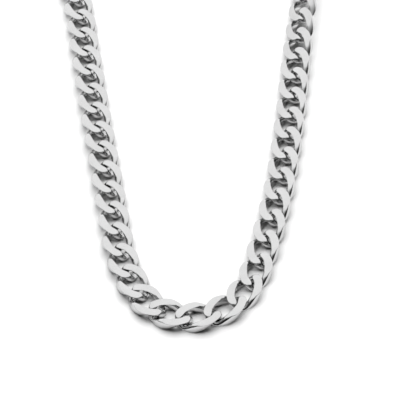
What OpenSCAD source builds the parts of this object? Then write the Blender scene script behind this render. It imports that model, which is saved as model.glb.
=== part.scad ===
// Flat-ground curb chain necklace, lying closed on a surface.
// Lengths in millimetres, angles in degrees. +Z is up and the links' ground undersides are at Z = 0.
// The chain is a closed loop: it starts at the clasp at the back of the neck, runs down
// the left strand, round the front, and up the right strand to the clasp again.

/* [Chain] */
// Number of links, without the clasp
link_count = 59; // [54:1:66]
// Distance from one link's centre to the next
pitch = 8.8; // [8.3:0.1:9.4]
// Width across the chain
chain_w = 10; // [9.5:0.1:12]
// Thickness between the two ground faces
chain_t = 3; // [2.6:0.1:3.2]

/* [Wire] */
// Width of the wire in plan
wire_w = 2.5; // [2.2:0.05:2.6]
// Height of the wire where it passes through its neighbour
wire_h = 2.5; // [2.2:0.05:2.6]
// Width of the ground flat at the middle of a lobe
flat_w = 1.7; // [1.2:0.1:1.9]
// Squareness of a link's outline, 2 is an ellipse
outline_power = 2.6; // [2.4:0.1:2.8]

/* [Clearances] */
// Play along the chain between the ends of linked wires
end_gap = 0.6; // [0.5:0.05:0.8]
// Rise of the crossing wires beyond the wire's own height
cross_gap = 1.2; // [1.1:0.05:1.4]

/* [Clasp] */
// Length of the clasp's box between the centres of its two lugs
clasp_l = 18; // [14:1:26]
// How far the box stands out past the links on each side
clasp_side = 0.3; // [0.1:0.1:1]
// How far the box stands up past the links
clasp_rise = 0.4; // [0.2:0.1:1]
// How far the box covers each lug past its centre
lug_cover = 0.4; // [0.2:0.1:0.6]
// Radius of the box's corners in plan
clasp_r = 2; // [1:0.1:3]
// Chamfer along the box's top edge
clasp_chamfer = 0.5; // [0.2:0.1:0.8]

/* [Hidden] */

// Middle line of the whole loop, seen from above, as [x, y, roll].
// x and y start at the lowest point of the front.
// A roll below zero leans the chain onto the loop's inner edge, with its outer edge raised.
ROUTE = [
    [-5.8, 233, 0], [-19, 231.5, 0], [-33, 224.5, 0], [-43, 211.5, 0], [-48, 194, 0],
    [-48.5, 174, 0], [-45.5, 154, -4], [-41.5, 136, -6], [-39.2, 120, -7], [-36.9, 104, -7],
    [-34.6, 88, -7], [-32.1, 72, -7], [-29.6, 56, -7], [-27.1, 40, -6], [-25, 27, -4], [-21.9, 17, -1],
    [-18.2, 9.3, 0], [-13.3, 3.6, 0], [-5.4, 0.2, 0], [3.3, 0.8, 0], [9.8, 4.5, 0], [13.9, 9.5, 0],
    [17.6, 17.9, -1], [19.8, 26, -4], [23.2, 40, -7], [26.2, 56, -8], [28.4, 72, -8], [30.3, 88, -9],
    [31.7, 102, -13], [33.2, 115, -22], [34.8, 128, -33], [36.3, 141, -40], [38.4, 156, -34],
    [40.4, 174, -18], [40, 192.5, -5], [35.5, 211, 0], [26, 224.5, 0], [12, 232, 0]
];
// Samples of the spline between two route points
ROUTE_STEPS = 10;
// Sections round a link and sides of its wire
SECTIONS = 16;
SIDES = 6;
// Least half angle of a wire's top and bottom faces where they aren't ground
FACE_ANGLE = 30;
// How sharply the wire's height grows towards the middle of a lobe
LOBE_POWER = 6;
// Half step along a link's centre line for its direction, in degrees
DIRECTION_STEP = 0.5;
// Sides of a full circle at the clasp's corners
CIRCLE_SIDES = 48;

half_t = chain_t / 2;
link_a = (pitch + wire_w + end_gap) / 2;
link_b = (chain_w - wire_w) / 2;
lobe_h = half_t / sqrt(1 - pow(flat_w / wire_w, 2));
cross_u = pitch / 2 / link_a;
cross_r = link_b * pow(1 - pow(cross_u, outline_power), 1 / outline_power);
twist = asin((wire_h + cross_gap) / 2 / cross_r) / cross_u;
loop_l = (link_count + 1) * pitch + clasp_l;
clasp_w = chain_w + 2 * clasp_side;
clasp_t = chain_t + clasp_rise;

function signed_power(v, p) = sign(v) * pow(abs(v), p);
function unit(v) = v / norm(v);

// Centre line of a link's wire: an oval whose two ends are twisted opposite ways.
function link_centre(t) =
    let (
        x = link_a * signed_power(cos(t), 2 / outline_power),
        r = link_b * signed_power(sin(t), 2 / outline_power),
        lean = -twist * x / link_a
    )
    [x, r * cos(lean), r * sin(lean)];

// One section of the wire, cut off flat at both ground faces.
function link_section(t) =
    let (
        c = link_centre(t),
        along = unit(link_centre(t + DIRECTION_STEP) - link_centre(t - DIRECTION_STEP)),
        up = unit([0, 0, 1] - along * along[2]),
        side = cross(along, up),
        h = wire_h / 2 + (lobe_h - wire_h / 2) * pow(sin(t), LOBE_POWER),
        rise = h * up[2],
        top = asin(min((half_t - c[2]) / rise, cos(FACE_ANGLE))),
        bottom = asin(min((half_t + c[2]) / rise, cos(FACE_ANGLE))),
        middle = (top - bottom) / 2,
        angles = [top, 180 - top, 180 - middle, 180 + bottom, -bottom, middle]
    )
    [for (a = angles) c + side * wire_w / 2 * cos(a) + up * h * sin(a)];

LINK_POINTS = [for (i = [0 : SECTIONS - 1]) each link_section(360 * i / SECTIONS)];
function corner(i, q) = (i % SECTIONS) * SIDES + q % SIDES;
LINK_FACES = [
    for (i = [0 : SECTIONS - 1], q = [0 : SIDES - 1])
        each [
            [corner(i, q), corner(i + 1, q + 1), corner(i + 1, q)],
            [corner(i, q), corner(i, q + 1), corner(i + 1, q + 1)]
        ]
];

// A smooth curve through the route points, scaled so that the loop has the chain's own length.
function route_point(i) = ROUTE[(i + len(ROUTE)) % len(ROUTE)];
function blend(a, b, c, d, t) =
    0.5 * (2 * b + (c - a) * t + (2 * a - 5 * b + 4 * c - d) * t * t + (3 * b - a - 3 * c + d) * t * t * t);
TRACK = [
    for (i = [0 : len(ROUTE) - 1], k = [0 : ROUTE_STEPS - 1])
        blend(route_point(i - 1), route_point(i), route_point(i + 1), route_point(i + 2), k / ROUTE_STEPS),
    ROUTE[0]
];
function plan(v) = [v[0], v[1]];
TRACK_S = [
    for (i = 0, s = 0; i < len(TRACK); i = i + 1,
        s = s + (i < len(TRACK) ? norm(plan(TRACK[i]) - plan(TRACK[i - 1])) : 0)) s
];
track_l = TRACK_S[len(TRACK) - 1];
track_scale = loop_l / track_l;
X_TABLE = [for (i = [0 : len(TRACK) - 1]) [TRACK_S[i] * track_scale, TRACK[i][0] * track_scale]];
Y_TABLE = [for (i = [0 : len(TRACK) - 1]) [TRACK_S[i] * track_scale, TRACK[i][1] * track_scale]];
ROLL_TABLE = [for (i = [0 : len(TRACK) - 1]) [TRACK_S[i] * track_scale, TRACK[i][2]]];

// The middle of the chain at one length along the loop. A leaning chain stands on its edge.
function track_at(s) =
    let (roll = lookup(s, ROLL_TABLE))
    [
        lookup(s, X_TABLE), lookup(s, Y_TABLE),
        half_t * cos(roll) + chain_w / 2 * abs(sin(roll))
    ];

// Points moved up where any of them is below the surface.
function rested(points) = let (low = min(0, min([for (v = points) v[2]]))) [for (v = points) v - [0, 0, low]];

// A link's points where it lies, between the middles of the gaps to its neighbours.
function placed_link(s) =
    let (
        at = track_at(s),
        along = unit(track_at(s + pitch / 2) - track_at(s - pitch / 2)),
        left = unit(cross([0, 0, 1], along)),
        up = cross(along, left),
        roll = lookup(s, ROLL_TABLE),
        side = left * cos(roll) + up * sin(roll),
        top = up * cos(roll) - left * sin(roll)
    )
    rested([for (v = LINK_POINTS) at + along * v[0] + side * v[1] + top * v[2]]);
function link_s(i) = clasp_l / 2 + (i + 1) * pitch;
LINKS = [for (i = [0 : link_count - 1]) placed_link(link_s(i))];

left_count = ceil(link_count / 2);

// The clasp's box lies between the centres of its two lugs.
CLASP_ENDS = [track_at(clasp_l / 2), track_at(loop_l - clasp_l / 2)];
CLASP_MIDDLE = (CLASP_ENDS[0] + CLASP_ENDS[1]) / 2;
clasp_box_l = clasp_l + 2 * lug_cover;

// The part's origin is the middle of its box, on the surface.
XS = [for (link = LINKS, v = link) v[0]];
YS = [for (link = LINKS, v = link) v[1]];
top_y = max(max(YS), CLASP_MIDDLE[1] + clasp_w / 2);
ORIGIN = [(min(XS) + max(XS)) / 2, (min(YS) + top_y) / 2, 0];

module link(points) {
    polyhedron(points = points, faces = LINK_FACES);
}

module chain_left() {
    color("silver") translate(-ORIGIN)
        for (i = [0 : left_count - 1]) link(LINKS[i]);
}

module chain_right() {
    color("silver") translate(-ORIGIN)
        for (i = [left_count : link_count - 1]) link(LINKS[i]);
}

module rounded_plate(l, w, r) {
    square([l, w - 2 * r], center = true);
    square([l - 2 * r, w], center = true);
    for (x = [-1, 1], y = [-1, 1])
        translate([x * (l / 2 - r), y * (w / 2 - r)]) circle(r = r, $fn = CIRCLE_SIDES);
}

// A plain closed box whose two lugs are halves of links.
module clasp() {
    color("gainsboro") translate(-ORIGIN) {
        link(placed_link(clasp_l / 2));
        link(placed_link(loop_l - clasp_l / 2));
        translate([CLASP_MIDDLE[0], CLASP_MIDDLE[1], 0]) {
            linear_extrude(clasp_t - clasp_chamfer) rounded_plate(clasp_box_l, clasp_w, clasp_r);
            linear_extrude(clasp_t)
                rounded_plate(
                    clasp_box_l - 2 * clasp_chamfer, clasp_w - 2 * clasp_chamfer,
                    clasp_r - clasp_chamfer
                );
        }
    }
}

chain_left();
chain_right();
clasp();
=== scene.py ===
# Flat-ground curb chain necklace on a pale surface, seen from the front at the photograph's angle.
# The links are finer copies of the CAD's links, on the same route and in the same places.
import math

import bpy
import numpy as np
from mathutils import Matrix, Vector


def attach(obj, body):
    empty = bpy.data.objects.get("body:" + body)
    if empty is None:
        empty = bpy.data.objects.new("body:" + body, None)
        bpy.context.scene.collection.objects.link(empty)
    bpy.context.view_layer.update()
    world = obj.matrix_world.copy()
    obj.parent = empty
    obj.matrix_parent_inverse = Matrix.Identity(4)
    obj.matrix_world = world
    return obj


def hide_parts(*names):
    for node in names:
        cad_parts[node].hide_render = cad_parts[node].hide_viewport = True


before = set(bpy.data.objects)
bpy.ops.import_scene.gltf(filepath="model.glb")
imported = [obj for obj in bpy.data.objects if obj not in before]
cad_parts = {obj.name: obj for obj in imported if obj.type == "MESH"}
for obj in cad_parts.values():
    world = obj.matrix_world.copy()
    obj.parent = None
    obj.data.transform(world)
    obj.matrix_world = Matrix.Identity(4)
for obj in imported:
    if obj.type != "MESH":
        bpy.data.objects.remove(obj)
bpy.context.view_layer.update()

# Millimetres to Blender's metres
MM = 0.001

# Chain and clasp, the same values as the part's source
LINK_COUNT = 59
PITCH = 8.8
CHAIN_W = 10
CHAIN_T = 3
WIRE_W = 2.5
WIRE_H = 2.5
FLAT_W = 1.7
OUTLINE_POWER = 2.6
END_GAP = 0.6
CROSS_GAP = 1.2
CLASP_L = 18
CLASP_SIDE = 0.3
CLASP_RISE = 0.4
LUG_COVER = 0.4
CLASP_R = 2
LOBE_POWER = 6
FACE_ANGLE = math.radians(30)
# Half step along a link's centre line for its direction
DIRECTION_STEP = math.radians(0.5)

# Middle line of the loop as (x, y, roll), the same points as the part's source
ROUTE = [
    (-5.8, 233, 0), (-19, 231.5, 0), (-33, 224.5, 0), (-43, 211.5, 0), (-48, 194, 0),
    (-48.5, 174, 0), (-45.5, 154, -4), (-41.5, 136, -6), (-39.2, 120, -7), (-36.9, 104, -7),
    (-34.6, 88, -7), (-32.1, 72, -7), (-29.6, 56, -7), (-27.1, 40, -6), (-25, 27, -4), (-21.9, 17, -1),
    (-18.2, 9.3, 0), (-13.3, 3.6, 0), (-5.4, 0.2, 0), (3.3, 0.8, 0), (9.8, 4.5, 0), (13.9, 9.5, 0),
    (17.6, 17.9, -1), (19.8, 26, -4), (23.2, 40, -7), (26.2, 56, -8), (28.4, 72, -8), (30.3, 88, -9),
    (31.7, 102, -13), (33.2, 115, -22), (34.8, 128, -33), (36.3, 141, -40), (38.4, 156, -34),
    (40.4, 174, -18), (40, 192.5, -5), (35.5, 211, 0), (26, 224.5, 0), (12, 232, 0),
]
ROUTE_STEPS = 10

# Fineness of a link: sections round it, and where a wire's points lie between two of its four corners
SECTIONS = 80
SHARES = [0, 0.03, 0.08, 0.2, 0.35, 0.5, 0.65, 0.8, 0.92, 0.97]
# How softly a ground flat runs over into the round wire
SOFTNESS = 0.14
# A flat's faces lie this close to the ground planes
FLAT_DEPTH = 0.06

# The clasp's rounded top edge, its small bevel below, and how finely its edges and corners are drawn
TOP_EDGE = 0.5
BASE_EDGE = 0.15
TOP_EDGE_LEVELS = 6
CORNER_POINTS = 8

# Camera: leaning back from straight above, turned a little to the right, aimed at this route point
CAMERA_TILT = math.radians(41)
CAMERA_SIDE = math.radians(2)
CAMERA_DISTANCE = 780
CAMERA_TARGET = (0, 48.6)
PIXELS_PER_MM = 3.145
IMAGE_PIXELS = 400
SENSOR = 36
# Nearest distance that it sees, in metres
CLIP_START = 0.01

half_t = CHAIN_T / 2
link_a = (PITCH + WIRE_W + END_GAP) / 2
link_b = (CHAIN_W - WIRE_W) / 2
lobe_h = half_t / math.sqrt(1 - (FLAT_W / WIRE_W) ** 2)
cross_u = PITCH / 2 / link_a
cross_r = link_b * (1 - cross_u ** OUTLINE_POWER) ** (1 / OUTLINE_POWER)
twist = math.asin((WIRE_H + CROSS_GAP) / 2 / cross_r) / cross_u
loop_l = (LINK_COUNT + 1) * PITCH + CLASP_L
clasp_w = CHAIN_W + 2 * CLASP_SIDE
clasp_t = CHAIN_T + CLASP_RISE


def unit(v):
    return v / np.linalg.norm(v)


# The route as a smooth closed curve, scaled to the chain's own length

def spline(points, steps):
    rows = []
    for i in range(len(points)):
        a, b, c, d = (np.array(points[(i + k) % len(points)], float) for k in (-1, 0, 1, 2))
        for k in range(steps):
            t = k / steps
            rows.append(0.5 * (2 * b + (c - a) * t + (2 * a - 5 * b + 4 * c - d) * t ** 2
                               + (3 * b - a - 3 * c + d) * t ** 3))
    rows.append(rows[0])
    return np.array(rows)


def make_track():
    curve = spline(ROUTE, ROUTE_STEPS)
    lengths = np.hypot(*np.diff(curve[:, :2], axis=0).T)
    run = np.concatenate([[0], np.cumsum(lengths)])
    scale = loop_l / run[-1]
    return run * scale, curve[:, 0] * scale, curve[:, 1] * scale, np.radians(curve[:, 2]), scale


TRACK_S, TRACK_X, TRACK_Y, TRACK_ROLL, track_scale = make_track()


def roll_at(s):
    return float(np.interp(s, TRACK_S, TRACK_ROLL))


def track_at(s):
    roll = roll_at(s)
    height = half_t * math.cos(roll) + CHAIN_W / 2 * abs(math.sin(roll))
    return np.array([np.interp(s, TRACK_S, TRACK_X), np.interp(s, TRACK_S, TRACK_Y), height])


def place(points, s):
    """Lay a link's points at one length along the loop, none of them below the surface."""
    along = unit(track_at(s + PITCH / 2) - track_at(s - PITCH / 2))
    left = unit(np.cross([0, 0, 1], along))
    up = np.cross(along, left)
    roll = roll_at(s)
    side = left * math.cos(roll) + up * math.sin(roll)
    top = up * math.cos(roll) - left * math.sin(roll)
    laid = track_at(s) + points @ np.array([along, side, top])
    return laid - [0, 0, min(laid[:, 2].min(), 0)]


def link_s(i):
    return CLASP_L / 2 + (i + 1) * PITCH


# One link: an oval of wire, twisted opposite ways at its ends and ground flat above and below

def signed_power(v, p):
    return math.copysign(abs(v) ** p, v)


def link_centre(t):
    x = link_a * signed_power(math.cos(t), 2 / OUTLINE_POWER)
    r = link_b * signed_power(math.sin(t), 2 / OUTLINE_POWER)
    lean = -twist * x / link_a
    return np.array([x, r * math.cos(lean), r * math.sin(lean)])


def soft_least(v, limit):
    """The lesser of two heights, with a smooth change from one to the other."""
    return (v + limit - math.hypot(v - limit, SOFTNESS)) / 2


def link_section(t):
    centre = link_centre(t)
    along = unit(link_centre(t + DIRECTION_STEP) - link_centre(t - DIRECTION_STEP))
    up = unit(np.array([0, 0, 1]) - along * along[2])
    side = np.cross(along, up)
    h = WIRE_H / 2 + (lobe_h - WIRE_H / 2) * abs(math.sin(t)) ** LOBE_POWER
    # Distances from the wire's middle up to one ground plane and down to the other
    above = (half_t - centre[2]) / up[2]
    below = (half_t + centre[2]) / up[2]
    top = math.asin(min(above / h, math.cos(FACE_ANGLE)))
    bottom = math.asin(min(below / h, math.cos(FACE_ANGLE)))
    corners = [top, math.pi - top, math.pi + bottom, 2 * math.pi - bottom, 2 * math.pi + top]
    section = []
    for start, end in zip(corners, corners[1:]):
        for share in SHARES:
            a = start + (end - start) * share
            v = soft_least(h * math.sin(a), above)
            section.append(centre + side * WIRE_W / 2 * math.cos(a) - up * soft_least(-v, below))
    return section


LINK = np.array([link_section(2 * math.pi * i / SECTIONS) for i in range(SECTIONS)])
WIRE_POINTS = LINK.shape[1]


def link_faces():
    faces = []
    for i in range(SECTIONS):
        for q in range(WIRE_POINTS):
            j, r = (i + 1) % SECTIONS, (q + 1) % WIRE_POINTS
            faces.append((i * WIRE_POINTS + q, i * WIRE_POINTS + r,
                          j * WIRE_POINTS + r, j * WIRE_POINTS + q))
    return faces


LINK_FACES = link_faces()
LINK_POINTS = LINK.reshape(-1, 3)
# Which of the faces belong to a ground flat
GROUND = [all(half_t - abs(LINK_POINTS[k][2]) < FLAT_DEPTH for k in face) for face in LINK_FACES]

CLASP_MIDDLE = (track_at(CLASP_L / 2) + track_at(loop_l - CLASP_L / 2)) / 2


def find_origin():
    """Middle of the loop's box in the route's own millimetres, which is the CAD's origin."""
    laid = np.vstack([place(LINK_POINTS, link_s(i)) for i in range(LINK_COUNT)])
    low, high = laid.min(axis=0), laid.max(axis=0)
    high[1] = max(high[1], CLASP_MIDDLE[1] + clasp_w / 2)
    return np.array([(low[0] + high[0]) / 2, (low[1] + high[1]) / 2, 0])


ORIGIN = find_origin()


# Materials: a noise's scale is in repeats a metre, and a bump's distance in metres

# The middle range of a noise's values, which is spread over the range that a material asks for
NOISE_LOW = 0.3
NOISE_HIGH = 0.7
STEEL_TONE = 0.54
FLOOR_TONE = 0.5


def new_material(name, tone, metallic, roughness):
    material = bpy.data.materials.new(name)
    material.use_nodes = True
    shader = material.node_tree.nodes["Principled BSDF"]
    shader.inputs["Base Color"].default_value = (tone, tone, tone, 1)
    shader.inputs["Metallic"].default_value = metallic
    shader.inputs["Roughness"].default_value = roughness
    return material, material.node_tree, shader


def noise(tree, scale, detail, stretch=(1, 1, 1)):
    coords = tree.nodes.new("ShaderNodeTexCoord")
    mapping = tree.nodes.new("ShaderNodeMapping")
    texture = tree.nodes.new("ShaderNodeTexNoise")
    mapping.inputs["Scale"].default_value = stretch
    texture.inputs["Scale"].default_value = scale
    texture.inputs["Detail"].default_value = detail
    tree.links.new(coords.outputs["Object"], mapping.inputs["Vector"])
    tree.links.new(mapping.outputs["Vector"], texture.inputs["Vector"])
    return texture.outputs["Fac"]


def remap(tree, value, low, high):
    node = tree.nodes.new("ShaderNodeMapRange")
    node.inputs["From Min"].default_value = NOISE_LOW
    node.inputs["From Max"].default_value = NOISE_HIGH
    node.inputs["To Min"].default_value = low
    node.inputs["To Max"].default_value = high
    tree.links.new(value, node.inputs["Value"])
    return node.outputs["Result"]


def grey(tree, value, low, high):
    ramp = tree.nodes.new("ShaderNodeValToRGB")
    ramp.color_ramp.elements[0].position = NOISE_LOW
    ramp.color_ramp.elements[0].color = (low, low, low, 1)
    ramp.color_ramp.elements[1].position = NOISE_HIGH
    ramp.color_ramp.elements[1].color = (high, high, high, 1)
    tree.links.new(value, ramp.inputs["Fac"])
    return ramp.outputs["Color"]


def bump(tree, shader, value, strength, distance):
    node = tree.nodes.new("ShaderNodeBump")
    node.inputs["Strength"].default_value = strength
    node.inputs["Distance"].default_value = distance
    tree.links.new(value, node.inputs["Height"])
    tree.links.new(node.outputs["Normal"], shader.inputs["Normal"])


def polished_steel():
    material, tree, shader = new_material("polished_steel", STEEL_TONE, metallic=1, roughness=0.12)
    clouds = noise(tree, scale=90, detail=3)
    tree.links.new(grey(tree, clouds, low=0.51, high=0.57), shader.inputs["Base Color"])
    haze = noise(tree, scale=260, detail=4)
    tree.links.new(remap(tree, haze, low=0.08, high=0.16), shader.inputs["Roughness"])
    grain = noise(tree, scale=900, detail=2)
    bump(tree, shader, grain, strength=0.05, distance=0.00002)
    return material


def ground_steel():
    material, tree, shader = new_material("ground_steel", STEEL_TONE, metallic=1, roughness=0.2)
    clouds = noise(tree, scale=160, detail=4)
    tree.links.new(grey(tree, clouds, low=0.52, high=0.56), shader.inputs["Base Color"])
    scratches = noise(tree, scale=500, detail=3, stretch=(1, 9, 1))
    tree.links.new(remap(tree, scratches, low=0.16, high=0.28), shader.inputs["Roughness"])
    bump(tree, shader, scratches, strength=0.06, distance=0.00001)
    return material


def clasp_steel():
    material, tree, shader = new_material("clasp_steel", STEEL_TONE, metallic=1, roughness=0.18)
    clouds = noise(tree, scale=120, detail=3)
    tree.links.new(grey(tree, clouds, low=0.51, high=0.57), shader.inputs["Base Color"])
    brushing = noise(tree, scale=220, detail=5, stretch=(1, 14, 1))
    tree.links.new(remap(tree, brushing, low=0.14, high=0.3), shader.inputs["Roughness"])
    bump(tree, shader, brushing, strength=0.1, distance=0.00002)
    return material


def floor_material():
    material, tree, shader = new_material("pale_surface", FLOOR_TONE, metallic=0, roughness=0.9)
    shader.inputs["Specular IOR Level"].default_value = 0
    clouds = noise(tree, scale=40, detail=3)
    tree.links.new(grey(tree, clouds, low=0.49, high=0.51), shader.inputs["Base Color"])
    return material


POLISHED = polished_steel()
GROUND_STEEL = ground_steel()
CLASP_STEEL = clasp_steel()


# Pieces

def new_piece(name, points, faces, materials, face_materials):
    mesh = bpy.data.meshes.new(name)
    mesh.from_pydata([tuple(p) for p in (np.asarray(points) - ORIGIN) * MM], [], faces)
    for material in materials:
        mesh.materials.append(material)
    mesh.polygons.foreach_set("material_index", face_materials)
    mesh.polygons.foreach_set("use_smooth", [True] * len(faces))
    mesh.update()
    piece = bpy.data.objects.new(name, mesh)
    bpy.context.scene.collection.objects.link(piece)
    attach(piece, "root")
    return piece


def laid_links(places):
    points, faces, face_materials = [], [], []
    for number, s in enumerate(places):
        start = number * len(LINK_POINTS)
        points.append(place(LINK_POINTS, s))
        faces += [tuple(start + k for k in face) for face in LINK_FACES]
        face_materials += [int(ground) for ground in GROUND]
    return np.vstack(points), faces, face_materials


def make_strand(name, node, numbers):
    points, faces, face_materials = laid_links([link_s(i) for i in numbers])
    piece = new_piece(name, points, faces, [POLISHED, GROUND_STEEL], face_materials)
    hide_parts(node)


left_count = math.ceil(LINK_COUNT / 2)
make_strand("links_left", "chain_left", range(left_count))
make_strand("links_right", "chain_right", range(left_count, LINK_COUNT))


def rounded_outline(length, width, radius):
    outline = []
    for k, (x, y) in enumerate([(1, 1), (-1, 1), (-1, -1), (1, -1)]):
        for i in range(CORNER_POINTS):
            a = math.pi / 2 * (k + i / (CORNER_POINTS - 1))
            outline.append((x * (length / 2 - radius) + radius * math.cos(a),
                            y * (width / 2 - radius) + radius * math.sin(a)))
    return outline


def make_clasp_box():
    """A box with soft edges, as a stack of outlines from its underside to its top."""
    levels = [(BASE_EDGE - z, z) for z in (0, BASE_EDGE / 2, BASE_EDGE)]
    levels += [(TOP_EDGE * (1 - math.cos(a)), clasp_t - TOP_EDGE + TOP_EDGE * math.sin(a))
               for a in np.linspace(0, math.pi / 2, TOP_EDGE_LEVELS)]
    length = CLASP_L + 2 * LUG_COVER
    points, faces = [], []
    for inset, z in levels:
        outline = rounded_outline(length - 2 * inset, clasp_w - 2 * inset, CLASP_R - inset)
        points += [(x + CLASP_MIDDLE[0], y + CLASP_MIDDLE[1], z) for x, y in outline]
    count = len(outline)
    for level in range(len(levels) - 1):
        for i in range(count):
            a, b = level * count + i, level * count + (i + 1) % count
            faces.append((a, b, b + count, a + count))
    faces.append(tuple(range(count))[::-1])
    faces.append(tuple(range((len(levels) - 1) * count, len(levels) * count)))
    return points, faces


def make_clasp():
    box_points, box_faces = make_clasp_box()
    lug_points, lug_faces, _ = laid_links([CLASP_L / 2, loop_l - CLASP_L / 2])
    faces = box_faces + [tuple(len(box_points) + k for k in face) for face in lug_faces]
    piece = new_piece("clasp_box", np.vstack([box_points, lug_points]), faces,
                      [CLASP_STEEL], [0] * len(faces))
    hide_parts("clasp")


make_clasp()


# Floor, light and camera

# The room's brightness in the metal, by how far a direction turns from the middle of a bright panel that
# hangs behind and above the chain: 1 is the panel's middle, 0.5 is square to it and 0 is its opposite
PANEL_DIRECTION = (0, 0.6, 0.8)
ROOM_LEVELS = [(0, 0.01), (0.5, 0.03), (0.57, 0.12), (0.66, 0.5), (0.76, 0.9), (1, 1)]
# Strength of the room's light, for the panel and the even light alike
ROOM_STRENGTH = 1.4
# The even light that falls on the floor from all round, where the panel's middle is 1
AMBIENT = 0.02
# A ray with fewer diffuse bounces than this has had none
NO_BOUNCES = 0.5
# The one lamp, a wide soft light above the back of the neck: metres and watts
KEY_PLACE = (-0.05, 0.8, 1.25)
KEY_TARGET = (0, -0.05, 0)
KEY_SIZE = (3.2, 2.4)
KEY_POWER = 150
# Side of the floor, in metres
FLOOR_SIZE = 6


def add_floor():
    bpy.ops.mesh.primitive_plane_add(size=FLOOR_SIZE, location=(0, 0, 0))
    floor = bpy.context.object
    floor.name = "floor"
    floor.data.materials.append(floor_material())


def add_key_light():
    light = bpy.data.lights.new("key", "AREA")
    light.shape = "RECTANGLE"
    light.size, light.size_y = KEY_SIZE
    light.energy = KEY_POWER
    lamp = bpy.data.objects.new("key", light)
    lamp.location = KEY_PLACE
    lamp.rotation_euler = (Vector(KEY_TARGET) - Vector(KEY_PLACE)).to_track_quat("-Z", "Y").to_euler()
    lamp.visible_glossy = False
    bpy.context.scene.collection.objects.link(lamp)


def add_world():
    """A dark room with a bright panel for the metal's reflections, and an even dim light for the rest."""
    world = bpy.data.worlds.new("studio")
    bpy.context.scene.world = world
    world.use_nodes = True
    tree = world.node_tree
    direction = tree.nodes.new("ShaderNodeTexCoord")
    towards = tree.nodes.new("ShaderNodeVectorMath")
    half = tree.nodes.new("ShaderNodeMapRange")
    ramp = tree.nodes.new("ShaderNodeValToRGB")
    rays = tree.nodes.new("ShaderNodeLightPath")
    straight = tree.nodes.new("ShaderNodeMath")
    seen = tree.nodes.new("ShaderNodeMath")
    mix = tree.nodes.new("ShaderNodeMix")
    # A dot product of -1 to 1 becomes a share of 0 to 1
    half.inputs["From Min"].default_value = -1
    mix.data_type = "RGBA"
    mix.inputs["A"].default_value = (AMBIENT, AMBIENT, AMBIENT, 1)
    tree.nodes["Background"].inputs["Strength"].default_value = ROOM_STRENGTH
    towards.operation = "DOT_PRODUCT"
    towards.inputs[1].default_value = PANEL_DIRECTION
    tree.links.new(direction.outputs["Generated"], towards.inputs[0])
    tree.links.new(towards.outputs["Value"], half.inputs["Value"])
    tree.links.new(half.outputs["Result"], ramp.inputs["Fac"])
    tree.links.new(ramp.outputs["Color"], mix.inputs["B"])
    # Only rays straight off the metal see the panel: light that reaches the floor by way of it stays dim
    straight.operation, seen.operation = "LESS_THAN", "MULTIPLY"
    straight.inputs[1].default_value = NO_BOUNCES
    tree.links.new(rays.outputs["Diffuse Depth"], straight.inputs[0])
    tree.links.new(rays.outputs["Is Glossy Ray"], seen.inputs[0])
    tree.links.new(straight.outputs["Value"], seen.inputs[1])
    tree.links.new(seen.outputs["Value"], mix.inputs["Factor"])
    tree.links.new(mix.outputs["Result"], tree.nodes["Background"].inputs["Color"])
    stops = ramp.color_ramp.elements
    for stop, (position, level) in zip(stops, (ROOM_LEVELS[0], ROOM_LEVELS[-1])):
        stop.position, stop.color = position, (level, level, level, 1)
    for position, level in ROOM_LEVELS[1:-1]:
        stops.new(position).color = (level, level, level, 1)


def add_camera():
    # The camera's own axes: back is away from what it looks at
    back = np.array([math.sin(CAMERA_SIDE), -math.sin(CAMERA_TILT), 0])
    back[2] = math.sqrt(1 - back @ back)
    right = unit(np.cross([0, 1, 0], back))
    up = np.cross(back, right)
    target = np.array([*CAMERA_TARGET, 0]) * track_scale - ORIGIN
    place_m = (target + back * CAMERA_DISTANCE) * MM
    camera = bpy.data.cameras.new("camera")
    camera.sensor_width = SENSOR
    camera.lens = SENSOR * CAMERA_DISTANCE * PIXELS_PER_MM / IMAGE_PIXELS
    camera.clip_start = CLIP_START
    holder = bpy.data.objects.new("camera", camera)
    holder.matrix_world = Matrix.Translation(place_m) @ Matrix(np.array([right, up, back]).T).to_4x4()
    bpy.context.scene.collection.objects.link(holder)
    bpy.context.scene.camera = holder


add_floor()
add_world()
add_key_light()
add_camera()
bpy.context.scene.view_settings.view_transform = "Standard"
